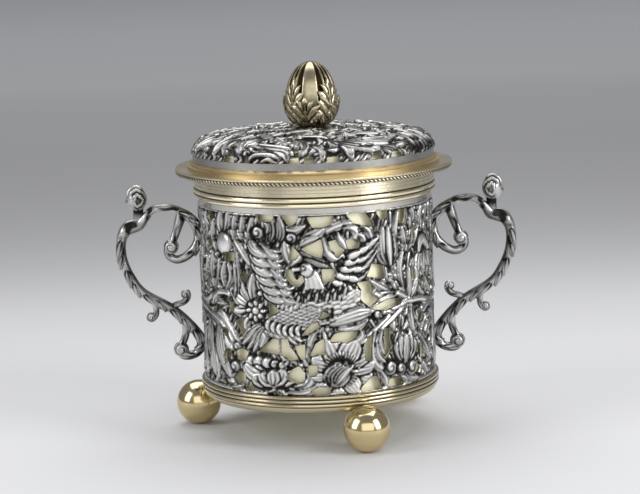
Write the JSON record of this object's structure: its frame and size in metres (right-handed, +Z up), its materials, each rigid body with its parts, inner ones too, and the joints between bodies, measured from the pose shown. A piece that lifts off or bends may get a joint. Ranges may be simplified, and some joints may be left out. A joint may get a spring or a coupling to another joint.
{
  "type": "two-handled cup with cover",
  "caption": "Two-handled parcel-gilt caudle cup: a gilt beaker in a pierced and chased silver sleeve on ball feet, with scroll handles and a lift-off cover topped by a leafy bud finial.",
  "frame": {"origin": "on the table, on the axis of the cup", "axes": "+Z up along the cup's axis, +X through the right handle, -Y the front with the spread bird"},
  "size_m": [0.198, 0.1386, 0.1824],
  "materials": {
    "chased_silver": "chased and pierced silver, bright on the high points and darkened in the recesses",
    "cast_silver": "cast and chased silver, darker in its cuts",
    "gilt": "polished pale gilding over silver"
  },
  "bodies": {
    "sleeve_stand": {"base_moulding": "gilt", "base_ledge": "gilt", "ball_foot_front": "gilt", "ball_foot_back": "gilt", "ball_foot_left": "gilt", "pierced_sleeve": "chased_silver", "sleeve_collar": "chased_silver", "right_upper_scroll": "cast_silver", "right_lower_scroll": "cast_silver", "right_head": "cast_silver", "right_upper_strut": "cast_silver", "right_lower_strut": "cast_silver", "right_inner_spur": "cast_silver", "right_outer_spur": "cast_silver", "left_upper_scroll": "cast_silver", "left_lower_scroll": "cast_silver", "left_head": "cast_silver", "left_upper_strut": "cast_silver", "left_lower_strut": "cast_silver", "left_inner_spur": "cast_silver", "left_outer_spur": "cast_silver"},
    "cup": {"cup_body": "gilt", "rim_moulding": "gilt"},
    "cover": {"cover_brim": "gilt", "cover_riser": "gilt", "cover_dome": "gilt", "cover_bezel": "gilt", "corded_edge": "gilt", "overlay_band": "chased_silver", "pierced_overlay": "chased_silver", "finial_collar": "gilt", "finial_bud": "gilt", "tall_leaves": "gilt", "short_leaves": "gilt", "finial_screw": "gilt", "finial_washer": "gilt", "finial_nut": "gilt"}
  },
  "joints": [
    {"name": "cup_lift", "type": "slide", "parent": "sleeve_stand", "child": "cup", "axis": [0, 0, 1], "range_m": [0, 0.11]},
    {"name": "cover_lift", "type": "slide", "parent": "cup", "child": "cover", "axis": [0, 0, 1], "range_m": [0, 0.06]}
  ]
}
